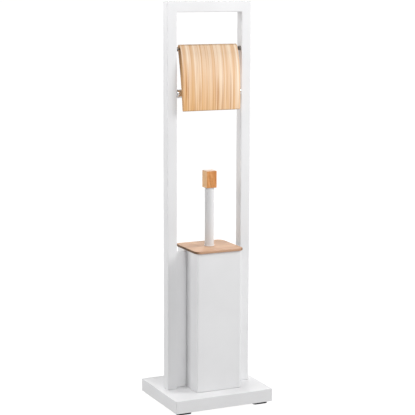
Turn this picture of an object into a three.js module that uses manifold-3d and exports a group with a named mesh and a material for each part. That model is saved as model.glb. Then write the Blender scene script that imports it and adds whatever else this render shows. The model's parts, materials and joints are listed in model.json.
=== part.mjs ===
// Free-standing bathroom stand: a weighted base, an upright frame of square tube, a square
// canister that holds a toilet brush, and a toilet-roll spindle under a hinged wooden flap.
// Millimetres, +Z up. The origin is on the floor under the middle of the base, and -Y is the front.
import * as THREE from 'three';
import { mergeVertices } from 'three/addons/utils/BufferGeometryUtils.js';
import Module from 'manifold-3d';

const wasm = await Module();
wasm.setup();

// ---- Driving dimensions ----------------------------------------------------------------------

const GAP = 0.3; // clearance between pieces that touch
const ROUND = 32; // sides of a large round piece
const SMALL_ROUND = 20; // sides of a small round piece

const FOOT = { side: 30, height: 5.5, corner: 6, edge: 0.8, insetX: 21.5, insetY: 22 };
const BASE = { width: 202.5, depth: 168, height: 24.5, sheet: 1.5, corner: 2 };
const TUBE = { side: 20, wall: 1.2, corner: 1.5 };
const FRAME = { width: 172, height: 734.5 };
const INSERT = { height: 30, bore: 6.6 };
const UPRIGHT_SCREW = { head: 12, headHeight: 4, shank: 6, length: 42 };
const COUNTERBORE = { diameter: 14, depth: 7 };
const CANISTER = { side: 92, height: 268.3, wall: 1.2, corner: 3, x: 2.8, y: -5, screwY: 26 };
const CANISTER_SCREW = { head: 9, headHeight: 3, shank: 5, length: 22, bore: 5.6 };
const NUT = { acrossCorners: 9.2, height: 4 };
const CUP = { side: 86, height: 145, wall: 1.6, corner: 6 };
const PANEL = { thickness: 2, height: 266 };

const LID = { side: 100.4, thickness: 4.5, corner: 11, edge: 0.8, bore: 8.4 };
const LID_STEP = { side: 82, height: 4, corner: 6 };
const COLLAR = { diameter: 19.6, height: 2.5 };
const HANDLE = { diameter: 17.5, wall: 1.2, length: 109 };
const HANDLE_INSERT = { diameter: 14.5, height: 20, bore: 8 };
const KNOB = { side: 21.2, height: 32.5, corner: 1.5, edge: 0.8, bore: 8.6, boreDepth: 19 };
const DOWEL = { diameter: 8, plug: 14.5, plugLength: 15, spigot: 18 };
const SHAFT = { diameter: 10, flange: 20, flangeHeight: 3, thread: 7.4, threadLength: 30 };
const CORE = { radius: 9, bottom: 46, top: 124, bore: 5.4, boreBottom: 94 };
const BRISTLES = { radius: 37, bottom: 42, top: 118, shoulder: 10 };

const SPINDLE = { y: -3, z: 595, flange: 17.2, flangeWidth: 3.5, pin: 6, pinLength: 4.4, pinHole: 7 };
const OUTER_TUBE = { diameter: 17, wall: 0.6, end: 6 };
const INNER_TUBE = { diameter: 15.2, wall: 0.6, start: -15 };
const SPIGOT = { length: 7, clearance: 0.3 };
const SPRING = { radius: 5.2, wire: 1, turns: 8, stepsPerTurn: 12 };

const HINGE = { y: -3.6, z: 677 };
const FLAP = { width: 117.8, bore: 4.6, boreDepth: 14 };
const BOSS = { diameter: 8.4, length: 3, bore: 3.2 };
const FLAP_PIN = { diameter: 2.6, length: 18 };

// ---- Heights and positions that follow from them ---------------------------------------------

const baseTop = FOOT.height + BASE.height;
const frameBottom = baseTop + GAP;
const frameTop = baseTop + FRAME.height;
const uprightX = (FRAME.width - TUBE.side) / 2;
const innerX = FRAME.width / 2 - TUBE.side;
const tubeBore = TUBE.side - 2 * TUBE.wall;
const boardBottom = FOOT.height + GAP;
const boardTop = baseTop - BASE.sheet - GAP;
const canisterFloor = frameBottom + CANISTER.wall;
const canisterTop = frameBottom + CANISTER.height;
const lidBottom = canisterTop + GAP;
const lidTop = lidBottom + LID.thickness;
const handleBottom = lidTop + COLLAR.height + 2 * GAP;
const handleTop = handleBottom + HANDLE.length;
const knobBottom = handleTop + GAP;
const spindleEnd = innerX - GAP;
const LEFT_AND_RIGHT = [['left', -1], ['right', 1]];
const FRONT_AND_REAR = [['front', -1], ['rear', 1]];

// ---- Materials -------------------------------------------------------------------------------

function material(color, roughness, metalness = 0) {
  return new THREE.MeshStandardMaterial({ color, roughness, metalness });
}

const whiteSteel = material(0xeeeeee, 0.45);
const bamboo = material(0xe8c49a, 0.55);
const amberBamboo = material(0xd79a62, 0.5);
const chrome = material(0xd8d8d8, 0.12, 1);
const steel = material(0x9a9a98, 0.35, 1);
const rubber = material(0x2a2a2a, 0.85);
const whitePlastic = material(0xf2f2f0, 0.4);
const greyPlastic = material(0x8e9092, 0.5);
const fibreboard = material(0xb58d62, 0.8);
const bristleNylon = material(0xf4f4f2, 0.7);

// ---- Solids ----------------------------------------------------------------------------------

function toSolid(geometry) {
  const bare = geometry.clone();
  bare.deleteAttribute('normal');
  bare.deleteAttribute('uv');
  const merged = mergeVertices(bare, 1e-4);
  const vertProperties = new Float32Array(merged.attributes.position.array);
  const triVerts = new Uint32Array(merged.index.array);
  return new wasm.Manifold(new wasm.Mesh({ numProp: 3, vertProperties, triVerts }));
}

function toGeometry(solid) {
  const mesh = solid.getMesh();
  const geometry = new THREE.BufferGeometry();
  geometry.setAttribute('position', new THREE.BufferAttribute(mesh.vertProperties, 3));
  geometry.setIndex(new THREE.BufferAttribute(mesh.triVerts, 1));
  geometry.computeVertexNormals();
  return geometry;
}

function cut(geometry, ...tools) {
  return toGeometry(tools.reduce((rest, tool) => rest.subtract(toSolid(tool)), toSolid(geometry)));
}

function join(first, ...others) {
  return toGeometry(others.reduce((sum, other) => sum.add(toSolid(other)), toSolid(first)));
}

// ---- Shapes ----------------------------------------------------------------------------------

function roundedRectangle(width, depth, radius) {
  const x = width / 2 - radius;
  const y = depth / 2 - radius;
  const shape = new THREE.Shape();
  shape.absarc(x, y, radius, 0, Math.PI / 2);
  shape.absarc(-x, y, radius, Math.PI / 2, Math.PI);
  shape.absarc(-x, -y, radius, Math.PI, 1.5 * Math.PI);
  shape.absarc(x, -y, radius, 1.5 * Math.PI, 2 * Math.PI);
  shape.closePath();
  return shape;
}

// A vertical prism on z = 0. A bevel rounds its top and bottom edges inside the same outline.
function prism(shape, height, bevel = 0, curveSegments = 3) {
  const geometry = new THREE.ExtrudeGeometry(shape, {
    depth: height - 2 * bevel,
    curveSegments,
    bevelEnabled: bevel > 0,
    bevelThickness: bevel,
    bevelSize: bevel,
    bevelOffset: -bevel,
    bevelSegments: 2,
  });
  return geometry.translate(0, 0, bevel);
}

// A round piece turned about the Z axis. The profile runs anticlockwise as [radius, height] pairs.
function turned(profile, sides = SMALL_ROUND) {
  const points = profile.map(([radius, height]) => new THREE.Vector2(radius, height));
  return new THREE.LatheGeometry(points, sides).rotateX(Math.PI / 2);
}

function rod(radius, bottom, top, sides = SMALL_ROUND) {
  return turned([[0, bottom], [radius, bottom], [radius, top], [0, top]], sides);
}

// The same, with its axis laid along X. Heights in the profile become places along X.
function alongX(geometry) {
  return geometry.rotateY(Math.PI / 2);
}

function squareTube(length, side, wall, corner) {
  const shape = roundedRectangle(side, side, corner);
  shape.holes.push(roundedRectangle(side - 2 * wall, side - 2 * wall, corner / 2));
  return prism(shape, length);
}

const group = new THREE.Group();

function add(name, geometry, pieceMaterial, x = 0, y = 0, z = 0) {
  const mesh = new THREE.Mesh(geometry, pieceMaterial);
  mesh.name = name;
  mesh.position.set(x, y, z);
  group.add(mesh);
}

// ---- Base ------------------------------------------------------------------------------------

// Screw places: one under each upright, and one in front of and one behind the canister's middle.
function screwHoles(uprightBore, canisterBore, bottom, top) {
  const uprights = LEFT_AND_RIGHT.map(([, side]) => (
    rod(uprightBore / 2, bottom, top).translate(side * uprightX, 0, 0)));
  const canister = FRONT_AND_REAR.map(([, side]) => (
    rod(canisterBore / 2, bottom, top)
      .translate(CANISTER.x, CANISTER.y + side * CANISTER.screwY, 0)));
  return [...uprights, ...canister];
}

function addBase() {
  const { width, depth, height, sheet, corner } = BASE;
  const inside = prism(roundedRectangle(width - 2 * sheet, depth - 2 * sheet, corner / 2), height);
  const tray = cut(
    prism(roundedRectangle(width, depth, corner), height),
    inside.translate(0, 0, -sheet),
    ...screwHoles(INSERT.bore, CANISTER_SCREW.bore, height / 2, height + 1),
  );
  add('base_plate', tray, whiteSteel, 0, 0, FOOT.height);

  const margin = 2 * (sheet + GAP);
  const thickness = boardTop - boardBottom;
  const board = cut(
    prism(roundedRectangle(width - margin, depth - margin, corner / 2), thickness),
    ...screwHoles(INSERT.bore, CANISTER_SCREW.bore, -1, thickness + 1),
    ...screwHoles(COUNTERBORE.diameter, COUNTERBORE.diameter, -1, COUNTERBORE.depth),
  );
  add('base_board', board, fibreboard, 0, 0, boardBottom);
}

function addFeet() {
  const pad = prism(roundedRectangle(FOOT.side, FOOT.side, FOOT.corner), FOOT.height, FOOT.edge);
  for (const [depthName, depthSide] of FRONT_AND_REAR) {
    for (const [name, side] of LEFT_AND_RIGHT) {
      const x = side * (BASE.width / 2 - FOOT.insetX);
      const y = depthSide * (BASE.depth / 2 - FOOT.insetY);
      add(`foot_${depthName}_${name}`, pad.clone(), rubber, x, y);
    }
  }
}

// ---- Frame -----------------------------------------------------------------------------------

// A block that clears everything on one side of a mitre plane. The plane slopes at 45 degrees
// through the middle of a top corner, and towards is +1 for its bar side and -1 for its upright side.
function mitreBlock(side, towards) {
  const size = 4 * TUBE.side;
  const reach = towards * (size / 2 - GAP / 2) * Math.SQRT1_2;
  const corner = new THREE.Vector3(side * uprightX, 0, frameTop - TUBE.side / 2);
  return new THREE.BoxGeometry(size, size, size)
    .rotateY(Math.PI / 4)
    .translate(corner.x - side * reach, 0, corner.z + reach);
}

function addFrame() {
  const { side: tubeSide, wall, corner } = TUBE;
  for (const [name, side] of LEFT_AND_RIGHT) {
    const tube = squareTube(frameTop - frameBottom, tubeSide, wall, corner)
      .translate(side * uprightX, 0, frameBottom);
    const pinHole = alongX(rod(SPINDLE.pinHole / 2, -2 * wall, 2 * wall))
      .translate(side * innerX, SPINDLE.y, SPINDLE.z);
    add(`${name}_upright`, cut(tube, mitreBlock(side, 1), pinHole), whiteSteel);
  }
  const bar = alongX(squareTube(FRAME.width, tubeSide, wall, corner))
    .translate(-FRAME.width / 2, 0, frameTop - tubeSide / 2);
  add('top_bar', cut(bar, mitreBlock(-1, -1), mitreBlock(1, -1)), whiteSteel);
}

function addFrameFixings() {
  const side = tubeBore - 2 * GAP;
  const block = cut(
    prism(roundedRectangle(side, side, TUBE.corner / 2), INSERT.height),
    rod(INSERT.bore / 2, -1, INSERT.height + 1),
  );
  const { head, headHeight, shank, length } = UPRIGHT_SCREW;
  const screw = turned([
    [0, 0], [head / 2, 0], [head / 2, headHeight], [shank / 2, headHeight], [shank / 2, length], [0, length],
  ]);
  const screwBottom = boardBottom + COUNTERBORE.depth - headHeight - GAP;
  for (const [name, sign] of LEFT_AND_RIGHT) {
    add(`${name}_tube_insert`, block.clone(), greyPlastic, sign * uprightX, 0, frameBottom + GAP);
    add(`${name}_upright_screw`, screw.clone(), steel, sign * uprightX, 0, screwBottom);
  }
}

function addSidePanels() {
  for (const [name, side] of LEFT_AND_RIGHT) {
    const canisterSide = CANISTER.x + side * CANISTER.side / 2;
    const width = Math.abs(side * innerX - canisterSide) - 2 * GAP;
    const sheet = new THREE.BoxGeometry(width, PANEL.thickness, PANEL.height);
    const middle = (side * innerX + canisterSide) / 2;
    add(`${name}_side_panel`, sheet, whiteSteel, middle, 0, frameBottom + PANEL.height / 2);
  }
}

// ---- Canister --------------------------------------------------------------------------------

function squareCup(side, height, wall, corner, segments) {
  const insideOutline = roundedRectangle(side - 2 * wall, side - 2 * wall, corner - wall);
  const inside = prism(insideOutline, height, 0, segments).translate(0, 0, wall);
  return cut(prism(roundedRectangle(side, side, corner), height, 0, segments), inside);
}

function addCanister() {
  const { side, height, wall, corner, x, y, screwY } = CANISTER;
  const holes = FRONT_AND_REAR.map(([, sign]) => (
    rod(CANISTER_SCREW.bore / 2, -1, 2 * wall).translate(0, sign * screwY, 0)));
  add('canister', cut(squareCup(side, height, wall, corner, 4), ...holes), whiteSteel, x, y, frameBottom);

  const { head, headHeight, shank, length } = CANISTER_SCREW;
  const screw = turned([
    [0, 0], [head / 2, 0], [head / 2, headHeight], [shank / 2, headHeight], [shank / 2, length], [0, length],
  ]);
  const nut = cut(
    new THREE.CylinderGeometry(NUT.acrossCorners / 2, NUT.acrossCorners / 2, NUT.height, 6)
      .rotateX(Math.PI / 2).translate(0, 0, NUT.height / 2),
    rod(CANISTER_SCREW.bore / 2, -1, NUT.height + 1),
  );
  const screwBottom = boardBottom + COUNTERBORE.depth - headHeight - GAP;
  for (const [name, sign] of FRONT_AND_REAR) {
    const screwPlace = y + sign * screwY;
    add(`canister_screw_${name}`, screw.clone(), steel, x, screwPlace, screwBottom);
    add(`canister_nut_${name}`, nut.clone(), steel, x, screwPlace, canisterFloor + GAP);
  }
}

function addDripCup() {
  const bottom = canisterFloor + NUT.height + 2 * GAP;
  const cup = squareCup(CUP.side, CUP.height, CUP.wall, CUP.corner, 5);
  add('drip_cup', cup, greyPlastic, CANISTER.x, CANISTER.y, bottom);
}

// ---- Brush -----------------------------------------------------------------------------------

function addLid() {
  const plate = prism(roundedRectangle(LID.side, LID.side, LID.corner), LID.thickness, LID.edge, 6);
  const stepOutline = roundedRectangle(LID_STEP.side, LID_STEP.side, LID_STEP.corner);
  const step = prism(stepOutline, LID_STEP.height + 1).translate(0, 0, -LID_STEP.height);
  const bore = rod(LID.bore / 2, -2 * LID_STEP.height, 2 * LID.thickness);
  add('lid', cut(join(plate, step), bore), bamboo, CANISTER.x, CANISTER.y, lidBottom);
}

function addHandle() {
  const ring = cut(
    rod(COLLAR.diameter / 2, 0, COLLAR.height, ROUND),
    rod(LID.bore / 2, -1, COLLAR.height + 1),
  );
  add('handle_collar', ring, whitePlastic, CANISTER.x, CANISTER.y, lidTop + GAP);

  const outer = HANDLE.diameter / 2;
  const inner = outer - HANDLE.wall;
  const tube = turned([
    [inner, 0], [outer, 0], [outer, HANDLE.length], [inner, HANDLE.length], [inner, 0],
  ], ROUND);
  add('handle_tube', tube, whiteSteel, CANISTER.x, CANISTER.y, handleBottom);

  const insert = cut(
    rod(HANDLE_INSERT.diameter / 2, 0, HANDLE_INSERT.height),
    rod(HANDLE_INSERT.bore / 2, -1, HANDLE_INSERT.height + 1),
  );
  add('handle_insert', insert, greyPlastic, CANISTER.x, CANISTER.y, handleBottom);
}

function addKnob() {
  const block = cut(
    prism(roundedRectangle(KNOB.side, KNOB.side, KNOB.corner), KNOB.height, KNOB.edge),
    rod(KNOB.bore / 2, -1, KNOB.boreDepth),
  );
  add('knob', block, amberBamboo, CANISTER.x, CANISTER.y, knobBottom);

  const radius = DOWEL.diameter / 2;
  const dowel = turned([
    [0, -DOWEL.plugLength], [DOWEL.plug / 2, -DOWEL.plugLength], [DOWEL.plug / 2, -GAP],
    [radius, -GAP], [radius, DOWEL.spigot], [0, DOWEL.spigot],
  ]);
  add('knob_dowel', dowel, greyPlastic, CANISTER.x, CANISTER.y, knobBottom);
}

function addBrushHead() {
  const flangeTop = lidBottom - LID_STEP.height - GAP;
  const flangeBottom = flangeTop - SHAFT.flangeHeight;
  const radius = SHAFT.diameter / 2;
  const shaft = turned([
    [0, CORE.boreBottom + GAP], [radius, CORE.boreBottom + GAP], [radius, flangeBottom],
    [SHAFT.flange / 2, flangeBottom], [SHAFT.flange / 2, flangeTop], [SHAFT.thread / 2, flangeTop],
    [SHAFT.thread / 2, flangeTop + SHAFT.threadLength], [0, flangeTop + SHAFT.threadLength],
  ]);
  add('brush_shaft', shaft, whitePlastic, CANISTER.x, CANISTER.y);

  const core = turned([
    [0, CORE.bottom], [CORE.radius - 3, CORE.bottom], [CORE.radius, CORE.bottom + 3],
    [CORE.radius, CORE.top - 2], [CORE.radius - 2, CORE.top], [CORE.bore, CORE.top],
    [CORE.bore, CORE.boreBottom], [0, CORE.boreBottom],
  ]);
  add('brush_core', core, whitePlastic, CANISTER.x, CANISTER.y);

  const { radius: outer, bottom, top, shoulder } = BRISTLES;
  const inner = CORE.radius + GAP;
  const bristles = turned([
    [0, bottom], [outer - shoulder, bottom], [outer - shoulder / 3, bottom + shoulder / 3],
    [outer, bottom + shoulder], [outer, top - shoulder], [outer - shoulder / 3, top - shoulder / 3],
    [outer - shoulder, top], [inner, top], [inner, CORE.bottom - GAP], [0, CORE.bottom - GAP],
  ], ROUND);
  add('brush_bristles', bristles, bristleNylon, CANISTER.x, CANISTER.y);
}

// ---- Roll spindle ----------------------------------------------------------------------------

// A plug closes one end of the spindle: a spigot inside the tube, a round flange, and the pin
// that sits in the upright. It is drawn pointing right, with its flange's outer face at x = 0.
function spindlePlug(tubeInnerDiameter) {
  const spigot = tubeInnerDiameter / 2 - SPIGOT.clearance;
  const flange = SPINDLE.flange / 2;
  const pin = SPINDLE.pin / 2;
  const { flangeWidth, pinLength } = SPINDLE;
  const rounding = flangeWidth / 3;
  return alongX(turned([
    [0, -flangeWidth - SPIGOT.length], [spigot, -flangeWidth - SPIGOT.length], [spigot, -flangeWidth],
    [flange, -flangeWidth], [flange, -rounding], [flange - rounding, 0],
    [pin, 0], [pin, pinLength], [0, pinLength],
  ], ROUND));
}

class Helix extends THREE.Curve {
  constructor(radius, length, turns) {
    super();
    Object.assign(this, { radius, length, turns });
  }

  getPoint(t, target = new THREE.Vector3()) {
    const angle = 2 * Math.PI * this.turns * t;
    return target.set(this.length * t, this.radius * Math.cos(angle), this.radius * Math.sin(angle));
  }
}

function addSpindle() {
  const place = [0, SPINDLE.y, SPINDLE.z];
  const tubeEnd = spindleEnd - SPINDLE.flangeWidth - GAP;
  const outerBore = OUTER_TUBE.diameter - 2 * OUTER_TUBE.wall;
  const innerBore = INNER_TUBE.diameter - 2 * INNER_TUBE.wall;

  const sleeve = alongX(turned([
    [outerBore / 2, -tubeEnd], [OUTER_TUBE.diameter / 2, -tubeEnd], [OUTER_TUBE.diameter / 2, OUTER_TUBE.end],
    [outerBore / 2, OUTER_TUBE.end], [outerBore / 2, -tubeEnd],
  ], ROUND));
  add('spindle_outer_tube', sleeve, chrome, ...place);

  const { start, wall, diameter } = INNER_TUBE;
  const slider = alongX(turned([
    [0, start], [diameter / 2, start], [diameter / 2, tubeEnd], [innerBore / 2, tubeEnd],
    [innerBore / 2, start + wall], [0, start + wall],
  ], ROUND));
  add('spindle_inner_tube', slider, chrome, ...place);

  const leftPlug = spindlePlug(outerBore).rotateZ(Math.PI);
  add('spindle_left_plug', leftPlug, chrome, -spindleEnd, SPINDLE.y, SPINDLE.z);
  add('spindle_right_plug', spindlePlug(innerBore), chrome, spindleEnd, SPINDLE.y, SPINDLE.z);

  const springStart = -spindleEnd + SPINDLE.flangeWidth + SPIGOT.length + SPRING.wire;
  const springLength = start - springStart - SPRING.wire;
  const wire = new THREE.Shape().absarc(0, 0, SPRING.wire / 2, 0, 2 * Math.PI);
  const spring = new THREE.ExtrudeGeometry(wire, {
    steps: SPRING.turns * SPRING.stepsPerTurn,
    curveSegments: 3,
    bevelEnabled: false,
    extrudePath: new Helix(SPRING.radius, springLength, SPRING.turns),
  });
  add('spindle_spring', spring, steel, springStart, SPINDLE.y, SPINDLE.z);
}

// ---- Roll flap -------------------------------------------------------------------------------

// The flap's side outline, with y across and z up, measured from its hinge axis: a round top,
// a bulging front, a rounded lip at the bottom and a slightly hollow back.
function flapOutline() {
  const top = { y: 2.8, z: 2.5, radius: 5.8, backAngle: 0.15, frontAngle: 2.8 };
  const front = { y: -17.4, z: -112, bulgeY: -20.4, bulgeZ: -26 };
  const back = { y: -13.4, z: -112, hollowY: -7.5, hollowZ: -54 };
  const lipRadius = (back.y - front.y) / 2;
  const shape = new THREE.Shape();
  shape.absarc(top.y, top.z, top.radius, top.backAngle, top.frontAngle);
  shape.quadraticCurveTo(front.bulgeY, front.bulgeZ, front.y, front.z);
  shape.absarc(front.y + lipRadius, front.z, lipRadius, Math.PI, 2 * Math.PI);
  shape.quadraticCurveTo(
    back.hollowY,
    back.hollowZ,
    top.y + top.radius * Math.cos(top.backAngle),
    top.z + top.radius * Math.sin(top.backAngle),
  );
  return shape;
}

function addFlap() {
  // The extrusion runs along its own z, so z, x and y of the outline become X, Y and Z.
  const outlineToSide = new THREE.Matrix4().set(0, 0, 1, 0, 1, 0, 0, 0, 0, 1, 0, 0, 0, 0, 0, 1);
  const board = prism(flapOutline(), FLAP.width, 0, 10)
    .applyMatrix4(outlineToSide)
    .translate(-FLAP.width / 2, 0, 0);
  const bores = LEFT_AND_RIGHT.map(([, side]) => (
    alongX(rod(FLAP.bore / 2, -FLAP.boreDepth, FLAP.boreDepth)).translate(side * FLAP.width / 2, 0, 0)));
  add('roll_flap', cut(board, ...bores), bamboo, 0, HINGE.y, HINGE.z);

  const bossRing = alongX(turned([
    [BOSS.bore / 2, 0], [BOSS.diameter / 2, 0], [BOSS.diameter / 2, BOSS.length],
    [BOSS.bore / 2, BOSS.length], [BOSS.bore / 2, 0],
  ], ROUND));
  const pin = alongX(rod(FLAP_PIN.diameter / 2, 0, FLAP_PIN.length));
  for (const [name, side] of LEFT_AND_RIGHT) {
    const outerFace = innerX - GAP;
    const bossStart = side > 0 ? outerFace - BOSS.length : -outerFace;
    const pinStart = side > 0 ? outerFace - FLAP_PIN.length : -outerFace;
    add(`${name}_flap_boss`, bossRing.clone(), steel, bossStart, HINGE.y, HINGE.z);
    add(`${name}_flap_pin`, pin.clone(), steel, pinStart, HINGE.y, HINGE.z);
  }
}

addBase();
addFeet();
addFrame();
addFrameFixings();
addSidePanels();
addCanister();
addDripCup();
addLid();
addHandle();
addKnob();
addBrushHead();
addSpindle();
addFlap();

export default group;
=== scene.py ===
"""Looks of a free-standing toilet brush and roll stand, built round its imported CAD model.

Every piece is drawn in metres in the CAD frame: +Z up, -Y the front, the origin on the floor under
the base. Each one takes its place and size from the CAD node that it stands for.
"""
import json
import math
import random

import bmesh
import bpy
from mathutils import Matrix, Vector


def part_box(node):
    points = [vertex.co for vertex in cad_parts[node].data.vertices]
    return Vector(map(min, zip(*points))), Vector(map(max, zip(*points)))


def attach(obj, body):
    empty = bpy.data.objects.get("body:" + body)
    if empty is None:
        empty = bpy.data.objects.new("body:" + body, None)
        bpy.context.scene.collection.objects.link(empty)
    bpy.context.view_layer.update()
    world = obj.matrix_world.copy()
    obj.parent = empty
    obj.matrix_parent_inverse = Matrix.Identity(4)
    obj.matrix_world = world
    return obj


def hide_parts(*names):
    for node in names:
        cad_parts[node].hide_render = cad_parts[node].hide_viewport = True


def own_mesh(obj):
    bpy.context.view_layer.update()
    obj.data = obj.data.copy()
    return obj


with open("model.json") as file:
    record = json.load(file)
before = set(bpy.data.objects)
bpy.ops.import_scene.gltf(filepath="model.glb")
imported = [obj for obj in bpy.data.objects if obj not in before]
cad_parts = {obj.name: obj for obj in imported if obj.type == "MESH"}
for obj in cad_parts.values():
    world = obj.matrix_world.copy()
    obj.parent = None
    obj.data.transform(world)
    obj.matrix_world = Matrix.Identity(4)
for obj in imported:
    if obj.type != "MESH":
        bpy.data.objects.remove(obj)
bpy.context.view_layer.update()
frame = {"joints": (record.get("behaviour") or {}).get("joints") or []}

MM = 0.001
SIDES = ("left", "right")
ENDS = ("front", "rear")
SIGN = {"left": -1, "right": 1}

# ---- Sizes that the looks add to the CAD model, in metres --------------------------------------
# A bore, shank or other round size is a radius, and a socket is measured across its corners. An
# edge is the radius that a corner of a section is rounded to.

GAP = 0.3 * MM  # between pieces that touch
CAP_INSET = 6.0 * MM  # where the last ring on a flat face lies, in from its outline

SHEET = 1.5 * MM
BASE_CORNER = 2.0 * MM
BASE_TOP_EDGE = 1.3 * MM
BASE_BEND = 1.0 * MM
BASE_RIM_EDGE = 0.4 * MM
BOARD_CORNER = 1.0 * MM
BOARD_EDGE = 0.5 * MM
COUNTERBORE = 7.0 * MM
COUNTERBORE_DEPTH = 7.0 * MM
FOOT_CORNER = 6.0 * MM
FOOT_SOLE_EDGE = 0.9 * MM
FOOT_TOP_EDGE = 0.5 * MM

TUBE_WALL = 1.2 * MM
TUBE_CORNER = 1.8 * MM
SEAM = 0.05 * MM  # what each tube keeps clear of a mitre's plane
PIN_HOLE = 3.5 * MM  # in each upright, for a pin of the spindle
PANEL_CORNER = 0.8 * MM
PANEL_LEAST_CORNER = 0.1 * MM
PANEL_EDGE = 0.5 * MM
PANEL_INSET = 0.7 * MM

CANISTER_WALL = 1.2 * MM
CANISTER_CORNER = 3.0 * MM
CANISTER_INNER_CORNER = 1.5 * MM
CANISTER_RIM_EDGE = 0.5 * MM
CANISTER_FOOT_EDGE = 0.8 * MM
CUP_WALL = 1.6 * MM
CUP_CORNER = 6.0 * MM
CUP_INNER_CORNER = 3.0 * MM
CUP_RIM_EDGE = 0.7 * MM
CUP_FOOT_EDGE = 4.0 * MM
LEAST_FLOOR_EDGE = 0.6 * MM  # where the inside of a cup's wall meets its floor

UPRIGHT_SCREW = {"shank": 3.0 * MM, "head_height": 4.0 * MM, "socket": 5.7 * MM, "pitch": 1.0 * MM}
CANISTER_SCREW = {"shank": 2.5 * MM, "head_height": 3.0 * MM, "socket": 4.6 * MM, "pitch": 0.8 * MM}
SOCKET_DEPTH = 2.2 * MM
HEAD_CHAMFER = 0.6 * MM
THREAD_DEPTH = 0.3 * MM
TUBE_INSERT_CORNER = 1.0 * MM
TUBE_INSERT_BORE = 3.3 * MM
NUT_BORE = 2.8 * MM
NUT_CHAMFER = 0.5 * MM
NUT_FACE = 0.44  # the radius of a nut's round face, as a share of its width across corners

LID_CORNER = 11.0 * MM
LID_THICKNESS = 4.5 * MM
LID_STEP_SIDE = 82.0 * MM
LID_STEP_CORNER = 6.0 * MM
LID_STEP_EDGE = 0.8 * MM
LID_STEP_FILLET = 0.3 * MM
LID_UNDER_EDGE = 0.9 * MM
LID_TOP_EDGE = 1.2 * MM
LID_STEP_INSET = 8.0 * MM
LID_TOP_INSET = 18.0 * MM
SHAFT_BORE = 4.2 * MM  # through the lid and the collar
COLLAR_FOOT_EDGE = 0.3 * MM
COLLAR_TOP_EDGE = 1.1 * MM
HANDLE_WALL = 1.2 * MM
HANDLE_EDGE = 0.4 * MM
HANDLE_INSERT_BORE = 4.0 * MM
HANDLE_INSERT_EDGE = 0.5 * MM
KNOB_CORNER = 1.6 * MM
KNOB_LOW_EDGE = 0.8 * MM
KNOB_TOP_EDGE = 0.9 * MM
KNOB_INSET = 5.0 * MM
KNOB_BORE = 4.3 * MM
KNOB_BORE_DEPTH = 19.0 * MM
DOWEL_END_EDGE = 0.6 * MM
DOWEL_SHOULDER_EDGE = 0.2 * MM
DOWEL_SPIGOT = 4.0 * MM

HUB = 2.0 * MM  # inside this radius a turned piece's flat end is a single face
SHAFT = 5.0 * MM
SHAFT_FLANGE_HEIGHT = 3.0 * MM
SHAFT_EDGE = 0.5 * MM
SHAFT_FILLET = 2.5 * MM
SHAFT_CREST = 3.7 * MM
SHAFT_ROOT = 3.3 * MM
SHAFT_TIP = 2.8 * MM
SHAFT_PITCH = 1.0 * MM
SHAFT_PLAIN_END = 1.5 * MM
CORE_EDGE = 0.8 * MM
CORE_LOW_CHAMFER = 3.0 * MM
CORE_TOP_CHAMFER = 2.0 * MM
CORE_BORE = 5.4 * MM
CORE_BORE_DEPTH = 30.0 * MM

BRISTLE = 0.2 * MM
BRISTLE_BOW = 0.6 * MM
BRISTLE_TAPER = 0.25  # how much thinner a tip is than its root
BRISTLE_STEPS = 3
TUFT_ROWS = 12
TUFTS_IN_A_ROW = 15
BRISTLES_IN_A_TUFT = 12
END_TUFTS = ((3.0 * MM, 6), (5.5 * MM, 10))  # each ring of tufts on the core's end: radius and count
END_ROOT_DEPTH = 0.5 * MM
ROOT_SPREAD = (0.015, 0.5 * MM)  # round the core in radians, and along it
TIP_SPREAD = (0.1, 2.3 * MM)  # the same, for the tips
TIP_TRIM_SPREAD = 0.5 * MM
END_FAN = 3.2  # how many times as far out a tip is as its root, for the tufts on the end
END_TIP_SPREAD = (0.2, 2.0 * MM)  # round the axis in radians, and away from it
END_TRIM_SPREAD = 0.4 * MM
END_RISE = 0.1  # how much higher a tip is for how far out it is
BRUSH_SHOULDER = 10.0 * MM
BRUSH_TRIM = (0.4 * MM, 0.6 * MM)  # what the head keeps inside its CAD solid, to the side and at its ends
ROW_INSET = (6.0 * MM, 7.0 * MM)  # the first row above the core's end, and the last below the head's top

SPINDLE_WALL = 0.6 * MM
SLEEVE_EDGE = 0.25 * MM
PLUG_PIN = 3.0 * MM
PLUG_PIN_LENGTH = 4.4 * MM
PLUG_FLANGE_WIDTH = 3.5 * MM
PLUG_SPIGOT_LENGTH = 7.0 * MM
PLUG_NOSE = 1.0 * MM
PLUG_EDGES = (0.5 * MM, 0.1 * MM, 0.3 * MM, 1.1 * MM, 0.4 * MM, 0.8 * MM)  # from spigot to pin tip
SLIDER_EDGES = (0.8 * MM, 0.2 * MM, 0.2 * MM, 0.4 * MM)  # outside the closed end, rim, rim, inside it
SPRING_WIRE = 0.5 * MM
SPRING_TURNS = 8
SPRING_CLOSED_TURNS = 0.75  # at each end
SPRING_CLOSED_RISE = 0.04  # the share of its length that the spring climbs even where it is closed

FLAP_TOP = 5.8 * MM
FLAP_CROWN = (0.15, 2.8)  # where the round top begins and ends, in radians from the rear
FLAP_LIP = 2.0 * MM
FLAP_LIP_FORWARD = 18.2 * MM
# Where the curves of the front and the back are pulled to, as (y, z) from the round top's middle.
FLAP_FRONT_PULL = (-23.2 * MM, -28.5 * MM)
FLAP_BACK_PULL = (-10.3 * MM, -56.5 * MM)
FLAP_EDGE = 0.9 * MM
FLAP_BORE = 2.3 * MM
FLAP_BORE_DEPTH = 14.0 * MM
BOSS_BORE = 1.6 * MM
BOSS_EDGE = 0.5 * MM
FLAP_PIN_CORE = 0.3 * MM
FLAP_PIN_EDGE = 0.3 * MM


# ---- Frame helpers -----------------------------------------------------------------------------

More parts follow.
